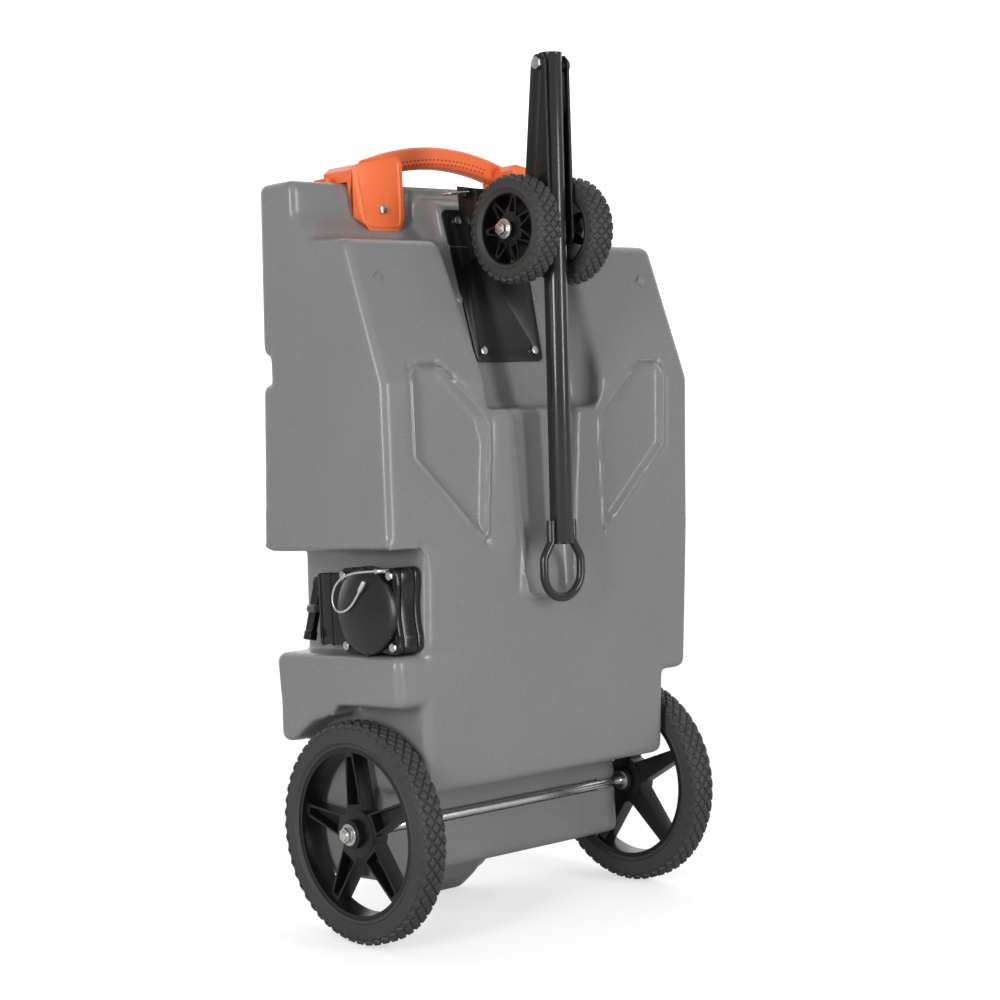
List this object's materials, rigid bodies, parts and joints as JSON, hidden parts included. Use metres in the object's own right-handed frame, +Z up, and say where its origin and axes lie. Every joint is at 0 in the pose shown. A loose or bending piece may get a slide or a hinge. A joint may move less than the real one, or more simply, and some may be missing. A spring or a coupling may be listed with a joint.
{
  "type": "portable waste tote",
  "caption": "Upright portable waste tank on two large wheels, with small steering wheels, a fold-down tow bar, a gate valve and a carrying handle.",
  "frame": {"origin": "on the floor, at the centre of the tote's plan", "axes": "+Z up, +Y towards the deck side that the tote leans to, +X across the tank"},
  "size_m": [0.604, 0.3485, 1.2127],
  "materials": {
    "black_plastic": "moulded nylon",
    "black_steel": "satin powder coat",
    "gate_plastic": "acetal",
    "lens": "clear polycarbonate",
    "orange_grip": "soft moulding",
    "orange_plastic": "moulded polypropylene",
    "seal_rubber": "nitrile",
    "tank_plastic": "moulded polyethylene",
    "tyre_rubber": "semi-pneumatic rubber",
    "valve_plastic": "moulded ABS",
    "wire": "stranded, clear coated",
    "zinc_steel": "zinc plated"
  },
  "bodies": {
    "tank": {"axle_nuts": "zinc_steel", "axle_washers": "zinc_steel", "cap_lanyard": "wire", "gauge_body": "black_plastic", "gauge_lens": "lens", "handle_grip": "orange_grip", "handle_screws": "zinc_steel", "lanyard_anchor": "zinc_steel", "lanyard_sleeve": "wire", "left_handle_bracket": "orange_plastic", "outlet_collar": "valve_plastic", "plate_screws": "zinc_steel", "right_handle_bracket": "orange_plastic", "rinse_neck": "black_plastic", "steering_head": "black_steel", "steering_plate": "black_steel", "tank_shell": "tank_plastic", "valve_body": "valve_plastic", "valve_bolts": "zinc_steel", "valve_nuts": "zinc_steel", "valve_seals": "seal_rubber", "valve_tank_flange": "valve_plastic", "wheel_axle": "zinc_steel"},
    "left_wheel": {"left_wheel_tyre": "tyre_rubber", "left_wheel_rim": "black_plastic"},
    "right_wheel": {"right_wheel_tyre": "tyre_rubber", "right_wheel_rim": "black_plastic"},
    "fork": {"steering_fork": "black_steel", "kingpin": "zinc_steel", "kingpin_nut": "zinc_steel", "thrust_washer": "black_plastic", "caster_axle": "zinc_steel", "caster_spacers": "black_plastic", "caster_washers": "zinc_steel", "caster_nuts": "zinc_steel", "tow_pivot_bolt": "zinc_steel", "tow_pivot_nut": "zinc_steel", "tow_pivot_spacers": "black_plastic"},
    "left_caster": {"left_caster_tyre": "tyre_rubber", "left_caster_rim": "black_plastic"},
    "right_caster": {"right_caster_tyre": "tyre_rubber", "right_caster_rim": "black_plastic"},
    "tow_bar": {"tow_bar": "black_steel", "tow_bar_cap": "black_plastic", "tow_bar_plug": "black_plastic", "tow_ring": "black_steel"},
    "gate": {"gate_blade": "gate_plastic", "gate_rod": "zinc_steel", "gate_handle": "black_plastic"},
    "cap": {"outlet_cap": "valve_plastic", "cap_seal": "seal_rubber"},
    "rinse_cap": {"rinse_cap": "black_plastic"},
    "hitch_pin": {"hitch_pin": "black_steel", "hitch_pin_pull": "zinc_steel"}
  },
  "joints": [
    {"name": "left_wheel_spin", "type": "hinge", "parent": "tank", "child": "left_wheel", "pos_m": [-0.266, -0.02188, 0.1524], "axis": [1, 0, 0], "continuous": true},
    {"name": "right_wheel_spin", "type": "hinge", "parent": "tank", "child": "right_wheel", "pos_m": [0.266, -0.02188, 0.1524], "axis": [1, 0, 0], "continuous": true},
    {"name": "steering", "type": "hinge", "parent": "tank", "child": "fork", "pos_m": [0, -0.03807, 1.00401], "axis": [0, 0.9972, -0.075], "range_deg": [-30, 30]},
    {"name": "left_caster_spin", "type": "hinge", "parent": "fork", "child": "left_caster", "pos_m": [-0.051, -0.09676, 0.97032], "axis": [1, 0, 0], "continuous": true},
    {"name": "right_caster_spin", "type": "hinge", "parent": "fork", "child": "right_caster", "pos_m": [0.051, -0.09676, 0.97032], "axis": [1, 0, 0], "continuous": true},
    {"name": "tow_fold", "type": "hinge", "parent": "fork", "child": "tow_bar", "pos_m": [0, -0.11287, 1.19616], "axis": [-1, 0, 0], "range_deg": [0, 190]},
    {"name": "gate_slide", "type": "slide", "parent": "tank", "child": "gate", "axis": [0, 0.9972, -0.075], "range_m": [0, 0.072]},
    {"name": "cap_twist", "type": "hinge", "parent": "tank", "child": "cap", "pos_m": [-0.2905, -0.05101, 0.45845], "axis": [-1, 0, 0], "range_deg": [0, 30]},
    {"name": "rinse_cap_turn", "type": "hinge", "parent": "tank", "child": "rinse_cap", "pos_m": [0.15, 0.15101, 0.90155], "axis": [0, 0.9995, -0.0323], "range_deg": [0, 270]},
    {"name": "hitch_pin_slide", "type": "slide", "parent": "tank", "child": "hitch_pin", "axis": [-1, 0, 0], "range_m": [0, 0.06]}
  ]
}
